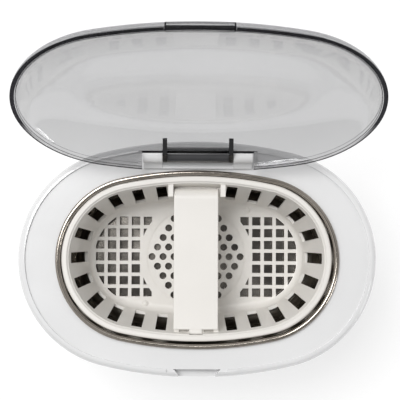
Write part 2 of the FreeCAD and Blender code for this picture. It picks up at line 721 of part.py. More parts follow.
def bridge_seats(guide_top):
    """Two guides and a shelf at the rear and a ledge at the front, which hold the bridge."""
    ledge_top = BRIDGE_TOP - BRIDGE_T - BRIDGE_SEAT_GAP
    shelf_top = ledge_top - BRIDGE_DROP
    ledge_y = (BRIDGE_FRONT_Y + LEDGE_SPAN[0], BRIDGE_FRONT_Y + LEDGE_SPAN[1])
    seats = [
        box((-GUIDE_X[1], GUIDE_X[1]), GUIDE_Y, (shelf_top - SHELF_H, shelf_top)),
        box((-BRIDGE_HALF, BRIDGE_HALF), ledge_y, (ledge_top - SHELF_H, ledge_top)),
    ]
    for side in (-1, 1):
        x = sorted((side * GUIDE_X[0], side * GUIDE_X[1]))
        seats.append(box(x, GUIDE_Y, (shelf_top - SHELF_H, guide_top + 1)))
    return fused(seats)


def bridge_slots():
    """The notch in the rim for the bridge's tongue, and a drain slot each side of it."""
    floor = BRIDGE_TOP - BRIDGE_T - BRIDGE_SEAT_GAP
    half = TONGUE_HALF + TONGUE_CLEAR
    tongue_y = (BRIDGE_FRONT_Y - TONGUE_OUT - TONGUE_CLEAR, BRIDGE_FRONT_Y)
    cuts = [box((-half, half), tongue_y, (floor, BASKET_TOP + 1))]
    for side in (-1, 1):
        x = sorted((side * DRAIN_X[0], side * DRAIN_X[1]))
        cuts.append(box(x, DRAIN_Y, (floor - SHELF_H - 1, BASKET_TOP - 1)))
    return fused(cuts)


def basket_bowl():
    """The basket's solid outside, and the hollow in it with the step at the flange's inner edge."""
    low = BASKET_FLOOR_Z - BASKET_T
    inner_top = inset(BASKET_RIM, BASKET_FLANGE)
    inner_floor = inset(inner_top, BASKET_DRAW_IN)
    outer_top, outer_floor = inset(inner_top, -BASKET_T), inset(inner_floor, -BASKET_T)
    outer = oval_taper(outer_floor, low, outer_top, BASKET_TOP, BASKET_Y)
    outer = outer.makeFillet(BASKET_FLOOR_R + BASKET_T, top_edges(outer, low))
    flange = oval_slab(BASKET_RIM, BASKET_TOP - BASKET_FLANGE_H, BASKET_TOP, BASKET_Y)
    flange = flange.makeFillet(BASKET_FLANGE_R, top_edges(flange, BASKET_TOP))
    over = BASKET_TOP + 0.01
    hollow = oval_taper(inner_floor, BASKET_FLOOR_Z, inner_top, over, BASKET_Y)
    hollow = hollow.makeFillet(BASKET_FLOOR_R, top_edges(hollow, BASKET_FLOOR_Z))
    width, depth = BASKET_STEP
    step = oval_taper(inner_top, BASKET_TOP - depth, inset(inner_top, -width), over, BASKET_Y)
    return fused([outer, flange]), fused([hollow, step])


def basket():
    solid, hollow = basket_bowl()
    seats = bridge_seats(BASKET_TOP - BASKET_FLANGE_H).common(solid)
    parts = [fused([solid.cut(hollow), seats]).cut(bridge_slots())]
    for sx in (-1, 1):
        for sy in (-1, 1):
            x, y = sx * BASKET_FOOT_XY[0], sy * BASKET_FOOT_XY[1] + BASKET_Y
            parts.append(rod(BASKET_FOOT_R, (x, y, BASKET_FOOT_Z), (x, y, BASKET_FLOOR_Z - BASKET_T / 2)))
            if sx == sy:
                ball = Part.makeSphere(BASKET_FOOT_R, V(x, y, BASKET_FLOOR_Z - BASKET_FOOT_R / 2))
                parts.append(ball.cut(box((-BIG, BIG), (-BIG, BIG), (-BIG, BASKET_FLOOR_Z - 1))))
    groove = ring(DISC_R, DISC_R - DISC_GROOVE_W, BASKET_FLOOR_Z - DISC_GROOVE_D, BASKET_FLOOR_Z + 1)
    cuts = basket_slots() + grid_holes() + round_holes() + [groove.translated(V(0, BASKET_Y, 0))]
    return fused(parts).cut(Part.makeCompound(cuts)).translated(V(BASKET_X, 0, 0))


def bridge_holder():
    top, low = BRIDGE_TOP, BRIDGE_TOP - BRIDGE_T
    width = (-BRIDGE_HALF, BRIDGE_HALF)
    plate = box(width, (BRIDGE_FRONT_Y, BRIDGE_REAR_Y), (low, top))
    drop = box(width, (BRIDGE_REAR_Y - BRIDGE_T, BRIDGE_REAR_Y), (low - BRIDGE_DROP, top))
    bent = fused([plate, drop])
    level = [e for e in bent.Edges if abs(e.BoundBox.ZMin - top) < 0.01 and e.BoundBox.ZLength < 0.01]
    rear = [e for e in level if abs(e.BoundBox.YMin - BRIDGE_REAR_Y) < 0.01]
    bent = bent.makeFillet(BRIDGE_BEND_R, rear)
    level = [e for e in bent.Edges if abs(e.BoundBox.ZMin - top) < 0.01 and e.BoundBox.ZLength < 0.01]
    long_edges = [e for e in level if e.BoundBox.XLength < 0.01 and e.BoundBox.YLength > BRIDGE_REAR_Y]
    bent = bent.makeFillet(BRIDGE_EDGE_R, long_edges)
    tongue_y = (BRIDGE_FRONT_Y - TONGUE_OUT, BRIDGE_FRONT_Y + 1)
    tongue = box((-TONGUE_HALF, TONGUE_HALF), tongue_y, (low, top - TONGUE_DOWN))
    return fused([bent, tongue]).translated(V(BASKET_X + BRIDGE_X, 0, 0))


# ---- front panel, buttons and display ---------------------------------------------------------
def display_box(grow, y=FRONT_SPAN):
    x = (DISPLAY_X[0] - grow, DISPLAY_X[1] + grow)
    return box(x, y, (DISPLAY_Z[0] - grow, DISPLAY_Z[1] + grow))


def control_panel():
    panel = front_shell(0.2, PANEL_T).common(panel_bar(-PANEL_CLEAR, FRONT_SPAN))
    panel = panel.cut(display_box(0))
    for x in BUTTON_X:
        start, end = ((x, y, BUTTON_Z) for y in FRONT_SPAN)
        panel = panel.cut(rod(BUTTON_R + PANEL_CLEAR, start, end))
    return panel


def display_window():
    return front_shell(0.4, PANEL_T).common(display_box(-0.1))


def display_module():
    return display_box(-MODULE_IN, (BOARD_Y - DISPLAY_DEPTH, BOARD_Y))


def front_surface_y(x, z):
    """The front wall's outside at a place on the panel."""
    drawn_in = BASE_IN * (SHOULDER_Z - z) / (SHOULDER_Z - BASE_Z) - SHOULDER_OUT
    oval = inset(DECK_OVAL, drawn_in)
    side_r = side_arc(oval)[0]
    return side_r - oval[1] - math.sqrt(side_r ** 2 - x * x)


def button(x):
    face = front_surface_y(x, BUTTON_Z) - BUTTON_PROUD
    cap = rod(BUTTON_R, (x, face, BUTTON_Z), (x, face + BUTTON_LENGTH, BUTTON_Z))
    rim = [e for e in cap.Edges if abs(e.BoundBox.YMin - face) < 0.01 and e.BoundBox.YLength < 0.01]
    cap = cap.makeFillet(BUTTON_EDGE_R, rim)
    back = face + BUTTON_LENGTH
    collar = rod(BUTTON_R + COLLAR_OUT, (x, back - COLLAR_T, BUTTON_Z), (x, back, BUTTON_Z))
    stem_end = SWITCH_FRONT_Y - BUTTON_TRAVEL - 2 * RUNNING_GAP
    stem = rod(STEM_R, (x, back - COLLAR_T, BUTTON_Z), (x, stem_end, BUTTON_Z))
    return fused([cap, collar, stem])


def control_board():
    back = BOARD_Y + PCB_T
    z = (PANEL_Z[0] + BOARD_IN, PANEL_Z[1] - BOARD_IN)
    parts = [box((-BOARD_HALF, BOARD_HALF), (BOARD_Y, back), z)]
    half = SWITCH_W / 2
    for x in BUTTON_X:
        z = (BUTTON_Z - half, BUTTON_Z + half)
        parts.append(box((x - half, x + half), (SWITCH_FRONT_Y, BOARD_Y + SOLDER), z))
    for x, (width, height, thickness) in ((0, CHIP), (PLUG_X, PLUG)):
        size = (width, thickness + SOLDER, height)
        parts.append(block(size, x, back - SOLDER, BUTTON_Z - height / 2))
    return fused(parts)


def board_clips():
    """Two clips that hold the control board to the ledge behind the panel."""
    front = front_surface_y(BOARD_HALF, BUTTON_Z) + PANEL_T + PANEL_CLEAR + LEDGE_T + SOLDER
    clips = []
    for side in (-1, 1):
        x = side * (BOARD_HALF - CLIP_W / 2)
        clips.append(block((CLIP_W, BOARD_Y - front, CLIP_H), x, front, BUTTON_Z - CLIP_H / 2))
    return Part.makeCompound(clips)


# ---- driver board -----------------------------------------------------------------------------
def board_screw_places():
    x0, x1 = BOARD_X[0] + BOARD_HOLE_IN, BOARD_X[1] - BOARD_HOLE_IN
    y = BOARD_HALF_Y - BOARD_HOLE_IN
    return [(x0, -y), (x0, y), (x1, -y), (x1, y)]


def driver_board():
    board = box(BOARD_X, (-BOARD_HALF_Y, BOARD_HALF_Y), (BOARD_Z, BOARD_Z + PCB_T))
    for x, y in board_screw_places():
        board = board.cut(rod(SMALL_SCREW_R + 0.1, (x, y, 0), (x, y, BIG / 4)))
    return board


def board_screws():
    top = BOARD_Z + PCB_T
    screws = []
    for x, y in board_screw_places():
        shank = rod(SMALL_SCREW_R, (x, y, BOARD_Z - SMALL_SCREW_BITE + 0.5), (x, y, top + 1))
        head = rod(2 * SMALL_SCREW_R, (x, y, top), (x, y, top + 1.5 * SMALL_SCREW_R))
        screws.append(fused([shank, head]))
    return Part.makeCompound(screws)


def transformer():
    x, y = TRANSFORMER_AT
    base = BOARD_Z + PCB_T
    low = base + BOBBIN[2]
    bobbin = block(BOBBIN, x, y - BOBBIN[1] / 2, base)
    core = block(CORE, x, y - CORE[1] / 2, low)
    width, height = CORE_WINDOW
    window_low = low + (CORE[2] - height) / 2
    core = core.cut(block((width, BOBBIN[1], height), x, y - BOBBIN[1] / 2, window_low))
    coil = rod(COIL_R, (x, y, window_low), (x, y, window_low + height))
    return fused([core, coil, bobbin])


def capacitors():
    low = BOARD_Z + PCB_T
    cans = []
    for x, y, radius, height in CAPACITORS:
        can = rod(radius, (x, y, low), (x, y, low + height))
        cans.append(can.makeFillet(CAPACITOR_EDGE_R, top_edges(can, low + height)))
    return Part.makeCompound(cans)


def heatsink():
    x, y = HEATSINK_AT
    width, reach, height = HEATSINK
    low = BOARD_Z + PCB_T
    parts = [block((width, HEATSINK_WEB, height), x, y - HEATSINK_WEB / 2, low)]
    for i in range(FINS):
        fin_x = x + (i / (FINS - 1) - 0.5) * (width - FIN_T)
        parts.append(block((FIN_T, reach, height), fin_x, y, low))
    return fused(parts)


def power_transistor():
    x, y = HEATSINK_AT
    rear = y - HEATSINK_WEB / 2
    low = BOARD_Z + PCB_T
    body = block(TRANSISTOR, x, rear - TRANSISTOR[1], low + TRANSISTOR_Z)
    leads = block((*LEADS, TRANSISTOR_Z + 1), x, rear + LEADS_Y, low)
    return fused([body, leads])


# ---- transducer, hung under the tank ----------------------------------------------------------
def transducer_levels():
    """The stack's joints from the tank's underside down."""
    levels = [DECK_Z - TANK_DEPTH - TANK_T]
    for thickness in (HORN_H, ELECTRODE_T, RING_H, ELECTRODE_T, RING_H, BACK_H):
        levels.append(levels[-1] - thickness)
    return levels


def stack_ring(radius, low, high):
    return ring(radius, STACK_BORE_R, low, high)


def transducer_horn(levels):
    flare = Part.makeCone(RING_R + HORN_FLARE, HORN_R, HORN_H, V(0, 0, levels[1]), V(0, 0, 1))
    return flare.cut(rod(BOLT_R, (0, 0, levels[1] - 1), (0, 0, levels[1] + BOLT_BITE)))


def piezo_rings(levels):
    rings = [stack_ring(RING_R, levels[3], levels[2]), stack_ring(RING_R, levels[5], levels[4])]
    return Part.makeCompound(rings)


def electrode_plates(levels):
    inside, outside, width = TAG
    plates = []
    for top, low, side in ((levels[1], levels[2], 1), (levels[3], levels[4], -1)):
        x = sorted((side * (RING_R - inside), side * (RING_R + outside)))
        tag = box(x, (-width / 2, width / 2), (low, top))
        plates.append(fused([stack_ring(RING_R, low, top), tag]))
    return Part.makeCompound(plates)


def transducer_back_mass(levels):
    return stack_ring(RING_R + HORN_FLARE / 2, levels[6], levels[5])


def transducer_bolt(levels):
    low = levels[6] - BOLT_HEAD_H
    head = rod(BOLT_HEAD_R, (0, 0, low), (0, 0, levels[6]))
    shank = rod(BOLT_R, (0, 0, low), (0, 0, levels[1] + BOLT_BITE - 1))
    radius, depth = BOLT_KEY
    turns = [math.radians(60 * i) for i in range(7)]
    socket = Part.makePolygon([V(radius * math.cos(t), radius * math.sin(t), low) for t in turns])
    return fused([head, shank]).cut(Part.Face(socket).extrude(V(0, 0, depth)))


# ---- power inlet ------------------------------------------------------------------------------
def stadium_y(width, height, y):
    """A slab with half-round ends, facing the rear."""
    flat = (width - height) / 2
    middle = box((-flat, flat), y, (INLET_Z - height / 2, INLET_Z + height / 2))
    ends = [rod(height / 2, (s * flat, y[0], INLET_Z), (s * flat, y[1], INLET_Z)) for s in (-1, 1)]
    return fused([middle] + ends)


def power_inlet():
    half_x, half_z = INLET_SIZE[0] / 2, INLET_SIZE[1] / 2
    inner_y = INLET_SEAT_Y - INLET_DEPTH
    mouth_y = INLET_SEAT_Y + INLET_FLANGE_T
    body = box((-half_x, half_x), (inner_y, INLET_SEAT_Y), (INLET_Z - half_z, INLET_Z + half_z))
    x, z = half_x + INLET_FLANGE, half_z + INLET_FLANGE
    flange = box((-x, x), (INLET_SEAT_Y, mouth_y), (INLET_Z - z, INLET_Z + z))
    corners = [e for e in flange.Edges if e.BoundBox.YLength > INLET_FLANGE_T / 2]
    body = fused([body, flange.makeFillet(INLET_CORNER_R, corners)])
    body = body.cut(stadium_y(*INLET_MOUTH, (inner_y + INLET_BACK_T, mouth_y + 1)))
    width, length, thickness = INLET_TAG
    size = (width, length + SOLDER, thickness)
    tags = [block(size, side * INLET_PIN_X, inner_y - length, INLET_Z - thickness / 2) for side in (-1, 1)]
    return fused([body] + tags)


def inlet_pins():
    inner_y = INLET_SEAT_Y - INLET_DEPTH + INLET_BACK_T
    pins = []
    for x in (-INLET_PIN_X, INLET_PIN_X):
        pins.append(rod(INLET_PIN_R, (x, inner_y, INLET_Z), (x, INLET_SEAT_Y - 1, INLET_Z)))
    return Part.makeCompound(pins)


def main():
    os.makedirs("parts", exist_ok=True)
    levels = transducer_levels()
    lid = lid_shell()
    barrel = lid_hinge_barrel(lid)
    write("upper_housing", upper_housing())
    write("bottom_cover", bottom_cover())
    write("rubber_feet", rubber_feet())
    write("base_screws", base_screws())
    write("tank", tank())
    write("tank_gasket", tank_gasket())
    write("hinge_bracket", hinge_bracket())
    write("bracket_screws", bracket_screws())
    write("hinge_pin", hinge_pin())
    write("lid_shell", swing_open(lid))
    write("lid_hinge_barrel", swing_open(barrel))
    write("basket", basket())
    write("bridge_holder", bridge_holder())
    write("control_panel", control_panel())
    write("display_window", display_window())
    write("display_module", display_module())
    write("control_board", control_board())
    write("board_clips", board_clips())
    for name, x in zip(BUTTON_NAMES, BUTTON_X):
        write(name, button(x))
    write("driver_board", driver_board())
    write("board_screws", board_screws())
    write("transformer", transformer())
    write("capacitors", capacitors())
    write("heatsink", heatsink())
    write("power_transistor", power_transistor())
    write("transducer_horn", transducer_horn(levels))
    write("piezo_rings", piezo_rings(levels))
    write("electrode_plates", electrode_plates(levels))
    write("transducer_back_mass", transducer_back_mass(levels))
    write("transducer_bolt", transducer_bolt(levels))
    write("power_inlet", power_inlet())
    write("inlet_pins", inlet_pins())


main()
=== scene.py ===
"""Looks for the oval ultrasonic cleaner: materials, studio light and camera. Metres, +Z up."""

import json
import math

import bpy
from mathutils import Matrix, Quaternion, Vector

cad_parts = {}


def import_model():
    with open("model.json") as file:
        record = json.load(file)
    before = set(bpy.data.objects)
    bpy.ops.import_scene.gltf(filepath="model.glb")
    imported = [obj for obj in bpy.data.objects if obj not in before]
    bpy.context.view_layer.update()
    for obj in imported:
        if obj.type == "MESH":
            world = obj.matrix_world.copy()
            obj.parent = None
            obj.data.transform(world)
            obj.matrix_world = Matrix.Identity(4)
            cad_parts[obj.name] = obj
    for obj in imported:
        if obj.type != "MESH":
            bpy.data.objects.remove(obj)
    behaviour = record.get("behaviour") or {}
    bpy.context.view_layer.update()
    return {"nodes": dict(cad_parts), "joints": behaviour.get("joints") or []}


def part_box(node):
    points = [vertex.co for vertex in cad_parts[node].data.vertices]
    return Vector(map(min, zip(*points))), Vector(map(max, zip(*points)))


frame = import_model()
NODES = frame["nodes"]
MM = 0.001


# ---- frame facts ------------------------------------------------------------------------------
def joint(name):
    return next(j for j in frame["joints"] if j["name"] == name)


LID_HINGE = joint("lid_hinge")
LID_AXIS_AT = Vector(LID_HINGE["pos_m"])
LID_TURN = math.radians(-LID_HINGE["range_deg"][0])
DECK_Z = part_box("tank_gasket")[0].z
MID_Y = (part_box("bottom_cover")[0].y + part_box("bottom_cover")[1].y) / 2

# the lid, seen shut: "back" is behind the hinge's axis and "inward" is in from the lid's outline
LID_OVAL = (101.2 * MM, 65.0 * MM, 60.1 * MM)   # half length, half depth and end radius
LID_GAP = 0.4 * MM                              # between the rim's underside and the deck
PAINTED_RIM_BAND = (0.2 * MM, 2.4 * MM)                 # inward limits of the black band of painted shade under the rim
PAINTED_BAND_FADE = (-44 * MM, -24 * MM)                # the painted shade band is black to the front of this and gone behind it
PAINTED_RIM_LINE = (2.8 * MM, 3.3 * MM)                 # inward limits of the thin painted shade line on the rim's inner edge
PAINTED_OUTER_LINE = (0.9 * MM, 1.1 * MM)               # inward end of the painted shade outer line, which runs all round
# the web and tab limits below place painted shade lines on the lid's edges
WEB_BACK = (-7.1 * MM, -4.9 * MM)               # the web's front and rear faces
WEB_HALF = (34.3 * MM, 34.5 * MM)               # half the web's length, with a soft end
WEB_BOTTOM = -2.0 * MM                          # the web's lower edge, from the hinge's axis
TAB_END = (16.9 * MM, 17.7 * MM)                # the tab's two ends, sideways from the middle
TAB_BACK = (-123 * MM, -122 * MM)               # the tab is to the front of this
RIB_INNER = (17.7 * MM, 17.9 * MM)              # the inner side of the barrel's ribs
SOFT = 0.1 * MM                                 # how softly a dark line ends

TANK_FLOOR = (DECK_Z - 50 * MM, DECK_Z - 38 * MM)   # where the smooth floor turns into the ringed wall

FACE_ON_GLOSS = 0.045                           # share mirrored by clear plastic seen face on
GLANCING_GLOSS = 0.96                           # what is added to it seen edge on


# ---- node helpers -----------------------------------------------------------------------------
class Tree:
    """A material's node tree with short calls to add and join nodes."""

    def __init__(self, name):
        self.material = bpy.data.materials.new(name)
        self.material.use_nodes = True
        self.tree = self.material.node_tree
        self.tree.nodes.clear()
        self.out = self.add("ShaderNodeOutputMaterial")
        self.coords = self.add("ShaderNodeTexCoord").outputs["Object"]

    def add(self, kind, **inputs):
        node = self.tree.nodes.new(kind)
        for key, value in inputs.items():
            self.feed(node, key.replace("_", " "), value)
        return node

    def feed(self, node, socket, value):
        target = node.inputs[socket]
        if isinstance(value, bpy.types.NodeSocket):
            self.tree.links.new(value, target)
        else:
            target.default_value = value

    def math(self, operation, *values):
        node = self.tree.nodes.new("ShaderNodeMath")
        node.operation = operation
        for i, value in enumerate(values):
            self.feed(node, i, value)
        return node.outputs[0]

    def noise(self, scale, detail=4.0, rough=0.55, stretch=None):
        coords = self.coords
        if stretch:
            mapping = self.add("ShaderNodeMapping", Vector=coords, Scale=stretch)
            coords = mapping.outputs[0]
        node = self.add("ShaderNodeTexNoise", Vector=coords, Scale=scale, Detail=detail, Roughness=rough)
        return node.outputs[0]

    def spread(self, value, low, high, from_low=0.3, from_high=0.7):
        node = self.add("ShaderNodeMapRange")
        for key, number in (("Value", value), ("From Min", from_low), ("From Max", from_high),
                            ("To Min", low), ("To Max", high)):
            self.feed(node, key, number)
        return node.outputs[0]

    def blend(self, factor, first, second):
        node = self.tree.nodes.new("ShaderNodeMix")
        node.data_type = "RGBA"
        for index, value in ((0, factor), (6, first), (7, second)):
            self.feed(node, index, value)
        return node.outputs[2]

    def bump(self, height, strength, distance):
        node = self.add("ShaderNodeBump", Height=height, Strength=strength, Distance=distance)
        return node.outputs[0]

    def finish(self, shader):
        self.tree.links.new(shader, self.out.inputs["Surface"])
        return self.material


def rgba(colour):
    return (*colour, 1.0)


def varied(tree, colour, amount, scale):
    """A colour that drifts a little lighter and darker over the surface."""
    darker = rgba([c * (1 - amount) for c in colour])
    return tree.blend(tree.spread(tree.noise(scale), 0.0, 1.0), darker, rgba(colour))


def moulded(name, colour, rough, grain=0.02, grain_scale=900.0, coat=0.0, drift=0.04):
    """Moulded plastic or rubber: slow colour drift, uneven gloss and a fine moulded grain."""
    tree = Tree(name)
    fine = tree.noise(grain_scale, detail=3.0)
    slow = tree.noise(38.0)
    shader = tree.add(
        "ShaderNodeBsdfPrincipled",
        Base_Color=varied(tree, colour, drift, 24.0),
        Roughness=tree.spread(slow, rough[0], rough[1]),
        Normal=tree.bump(fine, grain, 0.0004),
        Coat_Weight=coat,
        Coat_Roughness=0.06,
    )
    return tree.finish(shader.outputs[0])


def metal(name, colour, rough, streaks=(1, 1, 1), scale=160.0, grain=0.03, drift=0.12):
    """Metal with streaks along one direction, in its gloss, colour and surface."""
    tree = Tree(name)
    streak = tree.noise(scale, detail=6.0, stretch=streaks)
    darker = rgba([c * (1 - drift) for c in colour])
    shader = tree.add(
        "ShaderNodeBsdfPrincipled",
        Base_Color=tree.blend(tree.spread(streak, 0.0, 1.0), darker, rgba(colour)),
        Metallic=1.0,
        Roughness=tree.spread(streak, rough[0], rough[1]),
        Normal=tree.bump(streak, grain, 0.0003),
    )
    return tree.finish(shader.outputs[0])


def drawn_steel():
    """Deep-drawn stainless steel: a bright rolled rim, a darker ringed wall and a smoother floor."""
    tree = Tree("stainless")
    height = tree.add("ShaderNodeSeparateXYZ", Vector=tree.coords).outputs["Z"]
    wall = tree.spread(height, 1.0, 0.0, DECK_Z - 1 * MM, DECK_Z)
    rings = tree.noise(90.0, detail=6.0, stretch=(0.4, 0.4, 12.0))
    polish = tree.noise(60.0, detail=5.0, stretch=(1, 1, 4))
    steel = tree.blend(tree.spread(polish, 0.0, 1.0),
                       rgba((0.40, 0.36, 0.315)), rgba((0.48, 0.435, 0.385)))
    drawn = tree.blend(tree.spread(rings, 0.0, 1.0),
                       rgba((0.20, 0.185, 0.165)), rgba((0.44, 0.41, 0.37)))
    satin = tree.spread(rings, 0.2, 0.36)
    bright = tree.spread(polish, 0.07, 0.16)
    smoother = tree.spread(height, 0.12, 0.0, *TANK_FLOOR)
    satin = tree.math("SUBTRACT", satin, smoother)
    shader = tree.add(
        "ShaderNodeBsdfPrincipled",
        Base_Color=tree.blend(wall, steel, drawn),
        Metallic=1.0,
        Roughness=tree.math("MULTIPLY_ADD", tree.math("SUBTRACT", satin, bright), wall, bright),
        Normal=tree.bump(rings, 0.05, 0.0003),
    )
    return tree.finish(shader.outputs[0])


def laminate():
    """Green circuit board with soldered tracks."""
    tree = Tree("circuit_board")
    cells = tree.add("ShaderNodeTexVoronoi", Vector=tree.coords, Scale=260.0)
    cells.distance = "MANHATTAN"
    tracks = tree.spread(cells.outputs["Distance"], 0.0, 1.0, 0.28, 0.34)
    shader = tree.add(
        "ShaderNodeBsdfPrincipled",
        Base_Color=tree.blend(tracks, rgba((0.03, 0.20, 0.08)), rgba((0.015, 0.11, 0.04))),
        Roughness=tree.spread(tree.noise(300.0), 0.3, 0.5),
        Normal=tree.bump(tracks, 0.2, 0.0002),
    )
    return tree.finish(shader.outputs[0])


def lid_places(tree):
    """Where a point of the lid is when the lid is shut: right, back and up from the hinge's axis."""
    place = tree.add("ShaderNodeVectorMath")
    place.operation = "SUBTRACT"
    tree.feed(place, 0, tree.coords)
    tree.feed(place, 1, LID_AXIS_AT)
    back = (0.0, math.cos(LID_TURN), -math.sin(LID_TURN))
    up = (0.0, math.sin(LID_TURN), math.cos(LID_TURN))
    found = []
    for direction in ((1.0, 0.0, 0.0), back, up):
        node = tree.add("ShaderNodeVectorMath")
        node.operation = "DOT_PRODUCT"
        tree.feed(node, 0, place.outputs[0])
        tree.feed(node, 1, direction)
        found.append(node.outputs["Value"])
    return found


def inside_outline(tree, right, back):
    """How far a point is inside the lid's oval outline of four arcs."""
    a, b, r = LID_OVAL
    side_r = ((a - r) ** 2 + b * b - r * r) / (2 * (b - r))
    turn = math.atan2(side_r - b, a - r)
    x = tree.math("ABSOLUTE", right)
    y = tree.math("ABSOLUTE", tree.math("ADD", back, LID_AXIS_AT.y - MID_Y))
    end_x = tree.math("SUBTRACT", x, a - r)
    side_y = tree.math("ADD", y, side_r - b)

    def length(p, q):
        return tree.math("SQRT", tree.math("ADD", tree.math("MULTIPLY", p, p), tree.math("MULTIPLY", q, q)))

    from_end = tree.math("SUBTRACT", r, length(end_x, y))
    from_side = tree.math("SUBTRACT", side_r, length(x, side_y))
    outwards = tree.math("MULTIPLY", end_x, math.sin(turn))
    past = tree.math("SUBTRACT", outwards, tree.math("MULTIPLY", y, math.cos(turn)))
    at_end = tree.math("GREATER_THAN", past, 0.0)
    gap = tree.math("SUBTRACT", from_end, from_side)
    return tree.math("MULTIPLY_ADD", gap, at_end, from_side)


def between(tree, value, low, high):
    """1 where a value is from low to high, with soft edges."""
    rise = tree.spread(value, 0.0, 1.0, low - SOFT, low + SOFT)
    fall = tree.spread(value, 1.0, 0.0, high - SOFT, high + SOFT)
    return tree.math("MULTIPLY", rise, fall)


def darkest(tree, *masks):
    """The strongest of several masks of painted shade lines."""
    found = masks[0]
    for mask in masks[1:]:
        found = tree.math("MAXIMUM", found, mask)
    return found


def painted_rim_shade(tree, right, back, up):
    """Painted shade on the underside of the lid's rim: a black band, a thin inner line and an outer line,
    standing in for light caught dark in the clear plastic's edge.
    """
    inward = inside_outline(tree, right, back)
    rim_low = DECK_Z - LID_AXIS_AT.z + LID_GAP
    under = tree.spread(up, 1.0, 0.0, rim_low + SOFT, rim_low + 2 * SOFT)
    # painted shade band: black at the lid's front and fading out towards the hinge
    front = tree.spread(back, 1.0, 0.0, *PAINTED_BAND_FADE)
    band = tree.math("MULTIPLY", between(tree, inward, *PAINTED_RIM_BAND), front)
    painted_inner_line = tree.math("MULTIPLY", between(tree, inward, *PAINTED_RIM_LINE), 0.8)
    painted_outer_line = tree.spread(inward, 0.95, 0.0, *PAINTED_OUTER_LINE)
    return tree.math("MULTIPLY", under, darkest(tree, band, painted_inner_line, painted_outer_line))


def painted_edge_lines(tree, right, back, up):
    """Painted shade lines along the clear plastic's edges: the dark bottom edge of the web at the hinge's
    cut-out, and the ends of the front tab.
    """
    sideways = tree.math("ABSOLUTE", right)
    above_web = tree.math("ABSOLUTE", tree.math("SUBTRACT", up, WEB_BOTTOM))
    painted_web_line = tree.spread(above_web, 1.0, 0.0, SOFT, 3 * SOFT)
    at_web = tree.math("MULTIPLY", between(tree, back, *WEB_BACK), tree.spread(sideways, 1.0, 0.0, *WEB_HALF))
    painted_tab_line = tree.math("MULTIPLY", between(tree, sideways, *TAB_END), tree.spread(back, 1.0, 0.0, *TAB_BACK))
    return darkest(tree, tree.math("MULTIPLY", at_web, painted_web_line), painted_tab_line)


def smoked(name, through, edge_through, painted_line_colour):
    """Clear smoked moulding: darker seen at a slant, with painted shade making this stronger at the lid's
    front end, and painted shade lines along its rim and web.
    """
    tree = Tree(name)
    right, back, up = lid_places(tree)
    # lines: mask of the painted shade lines on the rim, web and tab
    lines = darkest(tree, painted_rim_shade(tree, right, back, up), painted_edge_lines(tree, right, back, up))
    slant = tree.add("ShaderNodeLayerWeight", Blend=0.5).outputs["Facing"]
    cloud = tree.spread(tree.noise(14.0), -0.02, 0.02)
    # the slant darkening stands for the smoke's tint over a longer path; far is painted shade, full at the
    # lid's front end and 0.45 nearer the hinge
    far = tree.spread(back, 1.0, 0.45, -112 * MM, -70 * MM)
    slant_and_painted_shade = tree.math("MULTIPLY", tree.math("POWER", slant, 2.5), far)
    clear = tree.blend(tree.math("ADD", slant_and_painted_shade, cloud), rgba(through), rgba(edge_through))
    see = tree.add("ShaderNodeBsdfTransparent", Color=tree.blend(lines, clear, rgba(painted_line_colour)))
    mirror = tree.add(
        "ShaderNodeBsdfGlossy",
        Color=rgba((0.95, 0.95, 0.96)),
        Roughness=tree.spread(tree.noise(40.0), 0.02, 0.06),
        Normal=tree.bump(tree.noise(900.0), 0.01, 0.0002),
    )
    gloss = tree.math("MULTIPLY_ADD", tree.math("POWER", slant, 5.0), GLANCING_GLOSS, FACE_ON_GLOSS)
    # the painted shade lines also lose most of their gloss
    less_gloss_on_painted_lines = tree.math("MULTIPLY_ADD", lines, -0.8, 1.0)
    mix = tree.add("ShaderNodeMixShader")
    tree.feed(mix, 0, tree.math("MULTIPLY", gloss, less_gloss_on_painted_lines))
    tree.tree.links.new(see.outputs[0], mix.inputs[1])
    tree.tree.links.new(mirror.outputs[0], mix.inputs[2])
    return tree.finish(mix.outputs[0])


def barrel_smoke():
    """Dark smoked moulding, nearly black where the ribs are."""
    tree = Tree("dark_smoke")
    sideways = tree.math("ABSOLUTE", lid_places(tree)[0])
    ribs = tree.spread(sideways, 0.0, 1.0, *RIB_INNER)
    colour = varied(tree, (0.045, 0.045, 0.048), 0.15, 60.0)
    shader = tree.add(
        "ShaderNodeBsdfPrincipled",
        Base_Color=tree.blend(ribs, colour, rgba((0.004, 0.004, 0.005))),
        Roughness=tree.spread(tree.noise(90.0), 0.16, 0.26),
        Normal=tree.bump(tree.noise(1100.0), 0.03, 0.0003),
        Coat_Weight=0.4,
        Coat_Roughness=0.08,
    )
    return tree.finish(shader.outputs[0])


def dress(material, *names):
    for name in names:
        node = NODES[name]
        node.data.materials.clear()
        node.data.materials.append(material)


# ---- materials --------------------------------------------------------------------------------
dress(moulded("white_plastic", (0.78, 0.78, 0.782), (0.16, 0.24), coat=0.4),
      "upper_housing", "bottom_cover", "hinge_bracket", "board_clips")
dress(moulded("ivory_plastic", (0.81, 0.785, 0.745), (0.28, 0.40), grain=0.04), "basket", "bridge_holder")
dress(drawn_steel(), "tank")
dress(metal("zinc_steel", (0.56, 0.56, 0.57), (0.25, 0.40)),
      "base_screws", "bracket_screws", "hinge_pin", "board_screws", "transducer_back_mass", "transducer_bolt")
dress(metal("turned_aluminium", (0.74, 0.74, 0.75), (0.22, 0.36), streaks=(1, 1, 20)),
      "capacitors", "heatsink", "transducer_horn")
dress(metal("brass", (0.72, 0.53, 0.26), (0.25, 0.38)), "electrode_plates", "inlet_pins")
dress(moulded("grey_rubber", (0.05, 0.05, 0.052), (0.6, 0.8), grain=0.12, grain_scale=600.0),
      "rubber_feet", "tank_gasket")
